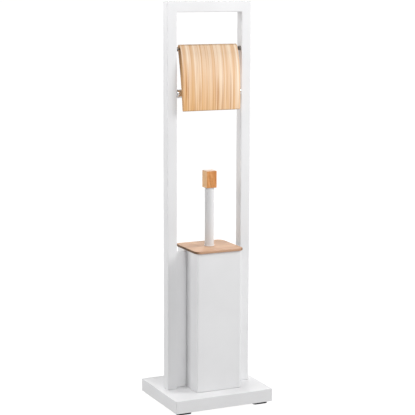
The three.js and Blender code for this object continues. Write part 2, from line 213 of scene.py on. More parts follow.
class Box:
    """Where a CAD node is: its lowest and highest corners, middle and size."""

    def __init__(self, node):
        self.low, self.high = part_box(node)
        self.middle = (self.low + self.high) / 2
        self.size = self.high - self.low


def joint(name):
    """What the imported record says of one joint."""
    return next(entry for entry in frame["joints"] if entry["name"] == name)


# ---- Rings, lofts and turned shapes ------------------------------------------------------------

def filleted(points, radii, steps=4):
    """A polyline with each inner corner rounded. radii is one radius, or one for each inner corner."""
    corners = len(points) - 2
    radii = [radii] * corners if isinstance(radii, (int, float)) else list(radii)
    rounded = [Vector(points[0])]
    for index in range(1, len(points) - 1):
        before, here, after = (Vector(p) for p in points[index - 1:index + 2])
        back, ahead = before - here, after - here
        half = back.angle(ahead) / 2
        reach = radii[index - 1] / math.tan(half)
        reach = min(reach, 0.48 * back.length, 0.48 * ahead.length)
        if reach < 1e-6:
            rounded.append(here)
            continue
        start = here + back.normalized() * reach
        end = here + ahead.normalized() * reach
        for step in range(steps + 1):
            t = step / steps
            rounded.append((1 - t) ** 2 * start + 2 * t * (1 - t) * here + t * t * end)
    rounded.append(Vector(points[-1]))
    return rounded


def rectangle_ring(width, depth, radius, centre, z, corner_steps=6, side_steps=6):
    """A level ring round a rectangle with round corners, anticlockwise from above."""
    half = Vector((width / 2 - radius, depth / 2 - radius))
    arcs = []
    for quarter, (sx, sy) in enumerate(((1, 1), (-1, 1), (-1, -1), (1, -1))):
        middle = Vector((centre[0] + sx * half.x, centre[1] + sy * half.y))
        for step in range(corner_steps + 1):
            angle = math.pi / 2 * (quarter + step / corner_steps)
            arcs.append(middle + radius * Vector((math.cos(angle), math.sin(angle))))
    ring = []
    for index, point in enumerate(arcs):
        ring.append(Vector((*point, z)))
        if index % (corner_steps + 1) == corner_steps:
            following = arcs[(index + 1) % len(arcs)]
            for step in range(1, side_steps):
                ring.append(Vector((*point.lerp(following, step / side_steps), z)))
    return ring


def circle_ring(radius, centre, z, like):
    """A level circle whose points look out in the same directions as another ring's points."""
    middle = Vector((*centre, z))
    ring = []
    for point in like:
        outward = Vector((point.x - centre[0], point.y - centre[1], 0)).normalized()
        ring.append(middle + radius * outward)
    return ring


def loft(rings, closed=False):
    """A skin over rings that have the same number of points. Open ends are capped."""
    bm = bmesh.new()
    loops = [[bm.verts.new(point) for point in ring] for ring in rings]
    pairs = list(zip(loops, loops[1:]))
    if closed:
        pairs.append((loops[-1], loops[0]))
    for first, second in pairs:
        for i in range(len(first)):
            j = (i + 1) % len(first)
            bm.faces.new((first[i], first[j], second[j], second[i]))
    if not closed:
        bm.faces.new(list(reversed(loops[0])))
        bm.faces.new(loops[-1])
    bmesh.ops.recalc_face_normals(bm, faces=bm.faces)
    return bm


def inset_rings(box, corner, profile, least_corner=0.4 * MM, **steps):
    """Rings that follow a box's outline, each drawn in by the profile's inset at its height."""
    rings = []
    for inset, z in profile:
        radius = max(corner - inset, least_corner)
        width, depth = box.size.x - 2 * inset, box.size.y - 2 * inset
        rings.append(rectangle_ring(width, depth, radius, box.middle.xy, z, **steps))
    return rings


def slab_profile(low, high, reach, radii, steps=4):
    """A flat piece's edge as (inset, height): out under it, up its side and in over it by reach."""
    return filleted([(reach, low), (0, low), (0, high), (reach, high)], radii, steps)


def ring_profile(inner, outer, low, high, radii, steps=4):
    """A ring's section as (radius, height), from inner to outer, with its outer corners rounded."""
    return filleted([(inner, low), (outer, low), (outer, high), (inner, high)], radii, steps)


def turned(profile, middle=(0, 0, 0), along="Z", segments=48, closed=False):
    """A round piece from (radius, height) pairs, turned about an axis through middle."""
    turn = Matrix.Rotation(math.pi / 2, 4, "Y") if along == "X" else Matrix.Identity(4)
    place = Matrix.Translation(middle) @ turn
    rings = []
    for radius, height in profile:
        ring = []
        for step in range(segments):
            angle = 2 * math.pi * step / segments
            ring.append(place @ Vector((radius * math.cos(angle), radius * math.sin(angle), height)))
        rings.append(ring)
    return loft(rings, closed)


# ---- Pieces ------------------------------------------------------------------------------------

def piece(name, bm, material, body, replaced=(), sharp=35, weighted=True):
    """Turns a bmesh into a finished piece that rides on a body and stands for its CAD nodes."""
    mesh = bpy.data.meshes.new(name)
    bmesh.ops.recalc_face_normals(bm, faces=bm.faces)
    bm.to_mesh(mesh)
    bm.free()
    mesh.shade_smooth()
    mesh.set_sharp_from_angle(angle=math.radians(sharp))
    mesh.materials.append(material)
    obj = bpy.data.objects.new(name, mesh)
    bpy.context.scene.collection.objects.link(obj)
    if weighted:
        normals = obj.modifiers.new("weighted_normals", "WEIGHTED_NORMAL")
        normals.keep_sharp = True
    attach(obj, body)
    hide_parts(*replaced)
    return obj


def drill(bm, holes):
    """Cuts round holes. Each hole is (start, end, radius), in metres."""
    mesh = bpy.data.meshes.new("drilled")
    bm.to_mesh(mesh)
    bm.free()
    target = bpy.data.objects.new("drilled", mesh)
    bpy.context.scene.collection.objects.link(target)
    cutters = []
    for start, end, radius in holes:
        start, end = Vector(start), Vector(end)
        direction = end - start
        place = Matrix.Translation(start) @ direction.to_track_quat("Z", "Y").to_matrix().to_4x4()
        cutter_bm = turned([(radius, 0), (radius, direction.length)], segments=40)
        cutter_bm.transform(place)
        cutter_mesh = bpy.data.meshes.new("cutter")
        cutter_bm.to_mesh(cutter_mesh)
        cutter_bm.free()
        cutter = bpy.data.objects.new("cutter", cutter_mesh)
        bpy.context.scene.collection.objects.link(cutter)
        cutters.append(cutter)
        cut = target.modifiers.new("cut", "BOOLEAN")
        cut.operation = "DIFFERENCE"
        cut.solver = "EXACT"
        cut.object = cutter
    evaluated = target.evaluated_get(bpy.context.evaluated_depsgraph_get())
    result = bmesh.new()
    result.from_mesh(evaluated.to_mesh())
    evaluated.to_mesh_clear()
    for obj in (target, *cutters):
        spare = obj.data
        bpy.data.objects.remove(obj)
        bpy.data.meshes.remove(spare)
    return result


# ---- Materials ---------------------------------------------------------------------------------

def srgb(red, green, blue):
    """A colour given as 0 to 255 display values, as the linear values that shaders take."""
    def linear(value):
        value /= 255
        return value / 12.92 if value <= 0.04045 else ((value + 0.055) / 1.055) ** 2.4
    return (linear(red), linear(green), linear(blue), 1)


class Shader:
    """A material with a Principled BSDF, and short calls that add nodes to it."""

    def __init__(self, name):
        self.material = bpy.data.materials.new(name)
        self.material.use_nodes = True
        self.tree = self.material.node_tree
        self.bsdf = self.tree.nodes["Principled BSDF"]
        self.place = self.add("ShaderNodeTexCoord").outputs["Object"]

    def add(self, kind, inputs=None, **settings):
        node = self.tree.nodes.new(kind)
        for key, value in settings.items():
            setattr(node, key, value)
        for key, value in (inputs or {}).items():
            self.feed(node.inputs[key], value)
        return node

    def feed(self, socket, value):
        if isinstance(value, bpy.types.NodeSocket):
            self.tree.links.new(value, socket)
        else:
            socket.default_value = value

    def set(self, **values):
        for key, value in values.items():
            self.feed(self.bsdf.inputs[key.replace("_", " ").title()], value)

    def math(self, operation, first, second=0.0):
        return self.add("ShaderNodeMath", {0: first, 1: second}, operation=operation).outputs[0]

    def stretched(self, scale, rotation=(0, 0, 0), vector=None):
        inputs = {"Vector": vector or self.place, "Scale": scale, "Rotation": rotation}
        return self.add("ShaderNodeMapping", inputs).outputs[0]

    def noise(self, vector, scale=1.0, detail=2.0, roughness=0.5):
        inputs = {"Vector": vector, "Scale": scale, "Detail": detail, "Roughness": roughness}
        return self.add("ShaderNodeTexNoise", inputs).outputs[0]

    def ramp(self, value, *stops):
        """A colour ramp between two stops, each a position and a colour."""
        node = self.add("ShaderNodeValToRGB", {"Fac": value})
        for element, (position, colour) in zip(node.color_ramp.elements, stops):
            element.position = position
            element.color = colour
        return node.outputs[0]

    def range(self, value, low, high, to_low, to_high):
        inputs = {0: value, 1: low, 2: high, 3: to_low, 4: to_high}
        return self.add("ShaderNodeMapRange", inputs).outputs[0]

    def mix(self, factor, first, second):
        node = self.add("ShaderNodeMix", data_type="RGBA")
        self.feed(node.inputs[0], factor)
        self.feed(node.inputs[6], first)
        self.feed(node.inputs[7], second)
        return node.outputs[2]

    def bump(self, height, distance, strength):
        inputs = {"Height": height, "Distance": distance, "Strength": strength}
        return self.add("ShaderNodeBump", inputs).outputs[0]


def powder_coat(name, light, dark):
    """Satin powder coat: a faint orange peel, and a sheen and tone that vary slightly."""
    s = Shader(name)
    drift = s.noise(s.place, scale=9, detail=3)
    peel = s.noise(s.place, scale=900, detail=2, roughness=0.55)
    s.set(base_color=s.mix(s.range(drift, 0.35, 0.65, 0, 1), light, dark))
    s.set(roughness=s.range(peel, 0.3, 0.7, 0.38, 0.48))
    s.set(normal=s.bump(peel, 0.05 * MM, 0.35))
    s.bsdf.inputs["Coat Weight"].default_value = 0.12
    s.bsdf.inputs["Coat Roughness"].default_value = 0.28
    return s.material


def bamboo(name, stretch, palette, lines, faces, deepen=None, tilt=(0, 0, 0)):
    """Laminated bamboo with a matt finish. stretch is small along the grain and larger across it.

    palette is four colours: the light strips, the dark strips, the thin lines and a deeper tone.
    lines says how strongly the thin lines show. faces paints light and shade onto faces by where
    they point, as lighter or darker colours: an axis, how squarely they face it where the painted
    colour begins and is full, its greatest share, and the colour. deepen is a direction, and where
    along it the deeper tone begins and is full; without it, that tone comes and goes. tilt turns
    the grain.
    """
    s = Shader(name)
    placed = s.stretched(stretch, vector=s.stretched((1, 1, 1), tilt))
    broad = s.noise(placed, scale=140, detail=1, roughness=0.5)
    narrow = s.noise(placed, scale=360, detail=2, roughness=0.6)
    thin = s.noise(placed, scale=760, detail=1, roughness=0.5)
    fine = s.noise(placed, scale=1700, detail=3, roughness=0.65)
    if deepen:
        direction, begin, full = deepen
        inputs = {0: s.place, 1: direction}
        reach = s.add("ShaderNodeVectorMath", inputs, operation="DOT_PRODUCT").outputs["Value"]
        depth = s.range(reach, begin, full, 0, 1)
    else:
        depth = s.range(s.noise(s.stretched((130, 300, 300)), detail=2), 0.42, 0.62, 0, 0.8)

    light_strip, dark_strip, line_tone, deep_tone = palette
    colour = s.mix(s.range(broad, 0.4, 0.62, 0, 0.8), light_strip, dark_strip)
    colour = s.mix(s.range(narrow, 0.45, 0.6, 0, 0.5), colour, dark_strip)
    colour = s.mix(s.math("MULTIPLY", depth, 0.7), colour, deep_tone)
    line = s.range(thin, 0.56, 0.68, 0, lines)
    colour = s.mix(s.math("MULTIPLY", line, s.range(depth, 0, 1, 0.35, 1)), colour, line_tone)
    # Painted light and shade: each face is mixed towards a lighter or darker colour by which way it points.
    facing = s.add("ShaderNodeTexCoord").outputs["Normal"]
    parts = s.add("ShaderNodeSeparateXYZ", {"Vector": facing}).outputs
    for axis, (begin, full), most, painted_shading_colour in faces:
        squarely = s.math("ABSOLUTE", parts[axis])
        colour = s.mix(s.range(squarely, begin, full, 0, most), colour, painted_shading_colour)
    shade = s.range(fine, 0.3, 0.7, 0.95, 1.05)
    colour = s.add("ShaderNodeVectorMath", {0: colour, "Scale": shade}, operation="SCALE").outputs[0]

    s.set(base_color=colour, roughness=s.range(fine, 0.3, 0.7, 0.5, 0.64))
    s.set(normal=s.bump(fine, 0.04 * MM, 0.4))
    s.bsdf.inputs["Specular IOR Level"].default_value = 0.22
    return s.material


def bright_metal(name, colour, low, high, grain, bump):
    """Plated or polished metal with a faint grain. grain is how fine that is along X, Y and Z."""
    s = Shader(name)
    marks = s.noise(s.stretched(grain), detail=3)
    darker = tuple(0.92 * part for part in colour[:3]) + (1,)
    s.set(base_color=s.mix(s.range(marks, 0.3, 0.7, 0, 1), colour, darker))
    s.bsdf.inputs["Metallic"].default_value = 1.0
    s.set(roughness=s.range(marks, 0.3, 0.7, low, high))
    s.set(normal=s.bump(marks, bump, 0.3))
    return s.material


def moulded(name, light, dark, low, high, bump=0.03 * MM):
    """Moulded plastic or rubber with a fine grain."""
    s = Shader(name)
    drift = s.noise(s.place, scale=25, detail=3)
    grain = s.noise(s.place, scale=700, detail=3, roughness=0.6)
    s.set(base_color=s.mix(s.range(drift, 0.35, 0.65, 0, 1), light, dark))
    s.set(roughness=s.range(grain, 0.3, 0.7, low, high))
    s.set(normal=s.bump(grain, bump, 0.5))
    return s.material


def fibreboard(name):
    """Raw fibreboard: pressed fibres with flecks."""
    s = Shader(name)
    fibres = s.noise(s.place, scale=350, detail=5, roughness=0.7)
    flecks = s.noise(s.stretched((900, 300, 900)), detail=2)
    colour = s.ramp(fibres, (0.3, srgb(146, 112, 78)), (0.7, srgb(186, 152, 112)))
    fleck = s.math("MULTIPLY", s.range(flecks, 0.62, 0.72, 0, 1), 0.5)
    s.set(base_color=s.mix(fleck, colour, srgb(112, 82, 56)))
    s.set(roughness=s.range(fibres, 0.3, 0.7, 0.8, 0.92))
    s.set(normal=s.bump(fibres, 0.2 * MM, 0.6))
    return s.material


def filament(name):
    """Drawn nylon: white, slightly translucent, with a soft sheen."""
    s = Shader(name)
    drift = s.noise(s.place, scale=160, detail=2)
    s.set(base_color=s.ramp(drift, (0.3, srgb(226, 228, 228)), (0.7, srgb(246, 246, 243))))
    s.set(roughness=s.range(drift, 0.3, 0.7, 0.32, 0.45))
    s.bsdf.inputs["Subsurface Weight"].default_value = 0.25
    s.bsdf.inputs["Subsurface Scale"].default_value = 0.4 * MM
    return s.material


WHITE = powder_coat("white_powder_coat", srgb(235, 235, 236), srgb(230, 230, 231))
# The handle's white is the frame's powder coat made a little darker: painted shade on the handle.
HANDLE_SHADED_WHITE = powder_coat("handle_shaded_powder_coat", srgb(229, 229, 230), srgb(225, 225, 226))
# The flap's side faces, and its faces that tilt up or down, are painted darker: painted shade. The deeper
# tone and stronger lines grow towards its lower left.
FLAP_WOOD = bamboo(
    "flap_bamboo", (1, 0.01, 0.012),
    (srgb(251, 231, 207), srgb(226, 181, 135), srgb(176, 104, 42), srgb(228, 176, 112)), 1,
    [("X", (0.6, 0.9), 1, srgb(206, 160, 112)),
     ("Z", (0.1, 0.33), 0.17, srgb(70, 48, 30)),
     ("Z", (0.5, 0.95), 0.55, srgb(140, 106, 70))],
    ((-0.5, 0, -1), -0.635, -0.542))
# The lid's front and back edges are painted darker, as painted shade. Its side edges are darker still, partly
# from the end grain's own tone and partly as painted shade.
LID_WOOD = bamboo(
    "lid_bamboo", (0.02, 0.55, 0.55),
    (srgb(222, 188, 156), srgb(198, 159, 128), srgb(160, 114, 84), srgb(216, 168, 142)), 0.4,
    [("Y", (0.5, 0.8), 1, srgb(194, 154, 126)), ("X", (0.25, 0.75), 1, srgb(110, 84, 62))])
# The knob's faces across X and its top are painted lighter: painted light.
KNOB_WOOD = bamboo(
    "knob_bamboo", (1, 0.5, 0.03),
    (srgb(228, 168, 110), srgb(200, 128, 68), srgb(136, 70, 26), srgb(212, 140, 80)), 0.9,
    [("X", (0.5, 0.8), 1, srgb(250, 202, 152)), ("Z", (0.25, 0.6), 1, srgb(230, 202, 180))],
    tilt=(0, 0.2, 0))
CHROME = bright_metal("chrome", (0.86, 0.86, 0.87, 1), 0.08, 0.14, (60, 700, 700), 0.01 * MM)
ZINC = bright_metal("zinc_steel", (0.26, 0.24, 0.22, 1), 0.26, 0.4, (500, 500, 500), 0.03 * MM)
RUBBER = moulded("foot_rubber", srgb(38, 38, 40), srgb(30, 30, 32), 0.72, 0.88)
WHITE_PLASTIC = moulded("white_plastic", srgb(240, 238, 238), srgb(233, 231, 231), 0.28, 0.38, bump=0.01 * MM)
GREY_PLASTIC = moulded("grey_plastic", srgb(150, 153, 156), srgb(140, 143, 146), 0.42, 0.55)
BOARD = fibreboard("fibreboard")
NYLON = filament("bristle_nylon")


# ---- Base --------------------------------------------------------------------------------------

def make_base():
    """A tray folded from sheet steel, open below."""
    box = Box("base_plate")
    low, high = box.low.z, box.high.z
    under = high - SHEET
    profile = filleted(
        [(CAP_INSET, under), (SHEET, under), (SHEET, low), (0, low), (0, high), (CAP_INSET, high)],
        [BASE_BEND, BASE_RIM_EDGE, BASE_RIM_EDGE, BASE_TOP_EDGE])
    tray = loft(inset_rings(box, BASE_CORNER, profile))
    piece("base_tray", tray, WHITE, "stand", ["base_plate"])


def make_base_board():
    """A board that fills the tray, counterbored from below for the heads of the four screws."""
    box = Box("base_board")
    profile = slab_profile(box.low.z, box.high.z, CAP_INSET, BOARD_EDGE, 2)
    screws = [f"{side}_upright_screw" for side in SIDES] + [f"canister_screw_{end}" for end in ENDS]
    counterbores = []
    for screw in screws:
        x, y = Box(screw).middle.xy
        below = Vector((x, y, box.low.z - MM))
        ceiling = Vector((x, y, box.low.z + COUNTERBORE_DEPTH))
        counterbores.append((below, ceiling, COUNTERBORE))
    board = drill(loft(inset_rings(box, BOARD_CORNER, profile)), counterbores)
    piece("base_board_panel", board, BOARD, "stand", ["base_board"])


def make_feet():
    for end in ENDS:
        for side in SIDES:
            node = f"foot_{end}_{side}"
            box = Box(node)
            profile = slab_profile(box.low.z, box.high.z, CAP_INSET, [FOOT_SOLE_EDGE, FOOT_TOP_EDGE])
            pad = loft(inset_rings(box, FOOT_CORNER, profile))
            piece(f"{node}_pad", pad, RUBBER, "stand", [node])


# ---- Frame -------------------------------------------------------------------------------------

def make_uprights():
    """Square tubes, mitred under the top bar, each with a hole for one pin of the spindle."""
    bar = Box("top_bar")
    spindle = Box("spindle_outer_tube").middle
    for side in SIDES:
        sign = SIGN[side]
        node = f"{side}_upright"
        box = Box(node)
        width = box.size.x
        inner = box.middle.x - sign * width / 2

        def mitre(point):
            return bar.low.z + sign * (point.x - inner) - SEAM

        rings = []
        for inset, at_top in ((0, False), (0, True), (TUBE_WALL, True), (TUBE_WALL, False)):
            ring = rectangle_ring(
                width - 2 * inset, width - 2 * inset, TUBE_CORNER - inset / 2, box.middle.xy, box.low.z)
            if at_top:
                ring = [Vector((p.x, p.y, mitre(p))) for p in ring]
            rings.append(ring)
        tube = loft(rings, closed=True)
        face = Vector((inner, spindle.y, spindle.z))
        into_wall = Vector((sign, 0, 0))
        clear = 2 * MM * into_wall
        tube = drill(tube, [(face - clear, face + TUBE_WALL * into_wall + clear, PIN_HOLE)])
        piece(f"{side}_upright_tube", tube, WHITE, "stand", [node])


def make_top_bar():
    """A square tube along X whose ends are cut at 45 degrees to meet the uprights."""
    box = Box("top_bar")
    height = box.size.z
    outer_half = Box("right_upright").high.x
    rings = []
    for inset, end in ((0, -1), (0, 1), (TUBE_WALL, 1), (TUBE_WALL, -1)):
        ring = rectangle_ring(height - 2 * inset, height - 2 * inset, TUBE_CORNER - inset / 2, (0, 0), 0)
        placed = []
        for point in ring:
            z = box.middle.z + point.x
            reach = outer_half - (box.high.z - z) - SEAM
            placed.append(Vector((end * reach, box.middle.y + point.y, z)))
        rings.append(placed)
    piece("top_bar_tube", loft(rings, closed=True), WHITE, "stand", ["top_bar"])


def make_side_panels():
    for side in SIDES:
        node = f"{side}_side_panel"
        box = Box(node)
        profile = slab_profile(box.low.z, box.high.z, PANEL_INSET, PANEL_EDGE)
        panel = loft(inset_rings(box, PANEL_CORNER, profile, least_corner=PANEL_LEAST_CORNER, side_steps=1))
        piece(f"{node}_sheet", panel, WHITE, "stand", [node])


# ---- Canister ----------------------------------------------------------------------------------

def cup_profile(low, high, wall, rim, foot):
    """An open cup's wall and floor as (inset, height). rim and foot are its rounded edges."""
    return filleted(
        [(CAP_INSET, low), (0, low), (0, high), (wall, high), (wall, low + wall), (CAP_INSET, low + wall)],
        [foot, rim, rim, max(foot - wall, LEAST_FLOOR_EDGE)])


def make_canister():
    box = Box("canister")
    profile = cup_profile(box.low.z, box.high.z, CANISTER_WALL, CANISTER_RIM_EDGE, CANISTER_FOOT_EDGE)
    rings = inset_rings(box, CANISTER_CORNER, profile, least_corner=CANISTER_INNER_CORNER, corner_steps=8)
    shell = loft(rings)
    piece("canister_shell", shell, WHITE, "stand", ["canister"])


def make_drip_cup():
    box = Box("drip_cup")
    profile = cup_profile(box.low.z, box.high.z, CUP_WALL, CUP_RIM_EDGE, CUP_FOOT_EDGE)
    rings = inset_rings(box, CUP_CORNER, profile, least_corner=CUP_INNER_CORNER, corner_steps=8)
    shell = loft(rings)
    piece("drip_cup_shell", shell, GREY_PLASTIC, "stand", ["drip_cup"])


# ---- Fixings -----------------------------------------------------------------------------------

def hexagon_ring(across_corners, centre, z):
    """A level hexagon drawn with many points, so that it can be lofted to a circle."""
    half_side = math.pi / 6
    count = 48
    ring = []
    for step in range(count):
        angle = 2 * math.pi * step / count
        wrapped = (angle + half_side) % (2 * half_side) - half_side
        radius = across_corners / 2 * math.cos(half_side) / math.cos(wrapped)
        ring.append(Vector((centre[0] + radius * math.cos(angle), centre[1] + radius * math.sin(angle), z)))
    return ring


def screw_bmesh(box, shank, head_height, socket, pitch):
    """A cap screw from below: a socket in its head, and a shank with thread ridges."""
    centre = box.middle.xy
    start = box.low.z
    head = box.size.x / 2
    circle = hexagon_ring(1, centre, start)
    rings = [hexagon_ring(socket, centre, start + SOCKET_DEPTH), hexagon_ring(socket, centre, start)]
    rings.append(circle_ring(head - HEAD_CHAMFER, centre, start, circle))
    rings.append(circle_ring(head, centre, start + HEAD_CHAMFER, circle))
    rings.append(circle_ring(head, centre, start + head_height, circle))
    top = box.high.z
    z = start + head_height
    while z < top - pitch:
        rings.append(circle_ring(shank - THREAD_DEPTH, centre, z, circle))
        rings.append(circle_ring(shank, centre, z + pitch / 2, circle))
        z += pitch
    rings.append(circle_ring(shank - 2 * THREAD_DEPTH, centre, top, circle))
    return loft(rings)


def make_fixings():
    """Screws from below, with the inserts and nuts that they go into."""
    for side in SIDES:
        node = f"{side}_upright_screw"
        screw = screw_bmesh(Box(node), **UPRIGHT_SCREW)
        piece(f"{node}_body", screw, ZINC, "stand", [node], weighted=False)
        node = f"{side}_tube_insert"
        box = Box(node)
        outline = inset_rings(box, TUBE_INSERT_CORNER, [(0, box.low.z), (0, box.high.z)])
        bore = [circle_ring(TUBE_INSERT_BORE, box.middle.xy, ring[0].z, ring) for ring in outline]
        block = loft([*outline, bore[1], bore[0]], closed=True)
        piece(f"{node}_block", block, GREY_PLASTIC, "stand", [node])
    for end in ENDS:
        node = f"canister_screw_{end}"
        screw = screw_bmesh(Box(node), **CANISTER_SCREW)
        piece(f"{node}_body", screw, ZINC, "stand", [node], weighted=False)
        node = f"canister_nut_{end}"
        box = Box(node)
        centre, low, high = box.middle.xy, box.low.z, box.high.z
        corners = box.size.y
        round_face = NUT_FACE * corners
        like = hexagon_ring(1, centre, low)
        rings = [
            circle_ring(round_face, centre, low, like),
            hexagon_ring(corners, centre, low + NUT_CHAMFER),
            hexagon_ring(corners, centre, high - NUT_CHAMFER),
            circle_ring(round_face, centre, high, like),
            circle_ring(NUT_BORE, centre, high, like),
            circle_ring(NUT_BORE, centre, low, like),
        ]
        piece(f"{node}_body", loft(rings, closed=True), ZINC, "stand", [node], weighted=False)


# ---- Brush -------------------------------------------------------------------------------------

def make_lid():
    """A square board with a step below it, and a bore for the brush shaft's thread."""
    box = Box("lid")
    top = box.high.z
    under = top - LID_THICKNESS
    step = (box.size.x - LID_STEP_SIDE) / 2
    outline = [
        (step + LID_STEP_INSET, box.low.z), (step, box.low.z), (step, under),
        (0, under), (0, top), (LID_TOP_INSET, top)]
    profile = filleted(outline, [LID_STEP_EDGE, LID_STEP_FILLET, LID_UNDER_EDGE, LID_TOP_EDGE])
    rings = inset_rings(
        box, LID_CORNER, profile, least_corner=LID_STEP_CORNER, corner_steps=10, side_steps=10)
    rings.append(circle_ring(SHAFT_BORE, box.middle.xy, top, rings[0]))
    rings.append(circle_ring(SHAFT_BORE, box.middle.xy, box.low.z, rings[0]))
    piece("lid_board", loft(rings, closed=True), LID_WOOD, "brush", ["lid"])


def make_handle():
    collar = Box("handle_collar")
    place = (*collar.middle.xy, 0)
    radius = collar.size.x / 2
    edges = [COLLAR_FOOT_EDGE, COLLAR_TOP_EDGE]
    profile = ring_profile(SHAFT_BORE, radius, collar.low.z, collar.high.z, edges)
    ring = turned(profile, place, closed=True)
    piece("handle_collar_ring", ring, WHITE_PLASTIC, "brush", ["handle_collar"])

    tube = Box("handle_tube")
    radius = tube.size.x / 2
    profile = ring_profile(radius - HANDLE_WALL, radius, tube.low.z, tube.high.z, HANDLE_EDGE)
    grip = turned(profile, place, segments=64, closed=True)
    # The grip takes the darker copy of the white powder coat: painted shade.
    piece("handle_grip", grip, HANDLE_SHADED_WHITE, "brush", ["handle_tube"])

    insert = Box("handle_insert")
    radius = insert.size.x / 2
    profile = ring_profile(HANDLE_INSERT_BORE, radius, insert.low.z, insert.high.z, HANDLE_INSERT_EDGE)
    bush = turned(profile, place, closed=True)
    piece("handle_insert_bush", bush, GREY_PLASTIC, "brush", ["handle_insert"])


def make_knob():
    """A square block with a blind bore below, and the stepped dowel that holds it in the handle."""
    box = Box("knob")
    low, high = box.low.z, box.high.z
    profile = slab_profile(low, high, KNOB_INSET, [KNOB_LOW_EDGE, KNOB_TOP_EDGE])
    rings = inset_rings(box, KNOB_CORNER, profile)
    mouth = circle_ring(KNOB_BORE, box.middle.xy, low, rings[0])
    ceiling = circle_ring(KNOB_BORE, box.middle.xy, low + KNOB_BORE_DEPTH, rings[0])
    piece("knob_block", loft([ceiling, mouth, *rings]), KNOB_WOOD, "brush", ["knob"])

    dowel = Box("knob_dowel")
    seat = low - GAP
    plug = dowel.size.x / 2
    outline = [
        (HUB, dowel.low.z), (plug, dowel.low.z), (plug, seat), (DOWEL_SPIGOT, seat),
        (DOWEL_SPIGOT, dowel.high.z), (HUB, dowel.high.z)]
    edges = [DOWEL_END_EDGE, DOWEL_SHOULDER_EDGE, DOWEL_SHOULDER_EDGE, DOWEL_END_EDGE]
    peg = turned(filleted(outline, edges), (*box.middle.xy, 0))
    piece("knob_dowel_peg", peg, GREY_PLASTIC, "brush", ["knob_dowel"])


def make_brush_shaft():
    """A rod with a flange that bears on the lid from below, and a thread through the lid."""
    box = Box("brush_shaft")
    flange = box.size.x / 2
    flange_top = Box("lid").low.z - GAP
    flange_foot = flange_top - SHAFT_FLANGE_HEIGHT
    outline = [
        (HUB, box.low.z), (SHAFT, box.low.z), (SHAFT, flange_foot),
        (flange, flange_foot), (flange, flange_top), (SHAFT_CREST, flange_top)]
    profile = filleted(outline, [SHAFT_EDGE, SHAFT_FILLET, SHAFT_EDGE, SHAFT_EDGE])
    z = flange_top
    while z < box.high.z - SHAFT_PLAIN_END:
        profile.append(Vector((SHAFT_CREST, z + SHAFT_PITCH / 2)))
        profile.append(Vector((SHAFT_ROOT, z + SHAFT_PITCH)))
        z += SHAFT_PITCH
    profile.append(Vector((SHAFT_TIP, box.high.z)))
    shaft = turned(profile, (*box.middle.xy, 0))
    piece("brush_shaft_rod", shaft, WHITE_PLASTIC, "brush", ["brush_shaft"])


def make_brush_core():
    """A round body that holds the tufts, with a blind bore from above for the shaft."""
    box = Box("brush_core")
    low, high = box.low.z, box.high.z
    radius = box.size.x / 2
    bottom = high - CORE_BORE_DEPTH
    outline = [
        (HUB, low), (radius - CORE_LOW_CHAMFER, low), (radius, low + CORE_LOW_CHAMFER),
        (radius, high - CORE_TOP_CHAMFER), (radius - CORE_TOP_CHAMFER, high),
        (CORE_BORE, high), (CORE_BORE, bottom), (HUB, bottom)]
    core = turned(filleted(outline, CORE_EDGE), (*box.middle.xy, 0))
    piece("brush_core_body", core, WHITE_PLASTIC, "brush", ["brush_core"])


def strand(root, tip, bend):
    """The points of one bristle: a three-sided tapering rod from root to tip that bows by bend."""
    points = []
    direction = (tip - root).normalized()
    side = direction.orthogonal().normalized()
    other = direction.cross(side)
    for step in range(BRISTLE_STEPS + 1):
        t = step / BRISTLE_STEPS
        middle = root.lerp(tip, t) + bend * (4 * t * (1 - t))
        thick = BRISTLE * (1 - BRISTLE_TAPER * t)
        for corner in range(3):
            angle = 2 * math.pi * corner / 3
            points.append(middle + thick * (math.cos(angle) * side + math.sin(angle) * other))
    return points


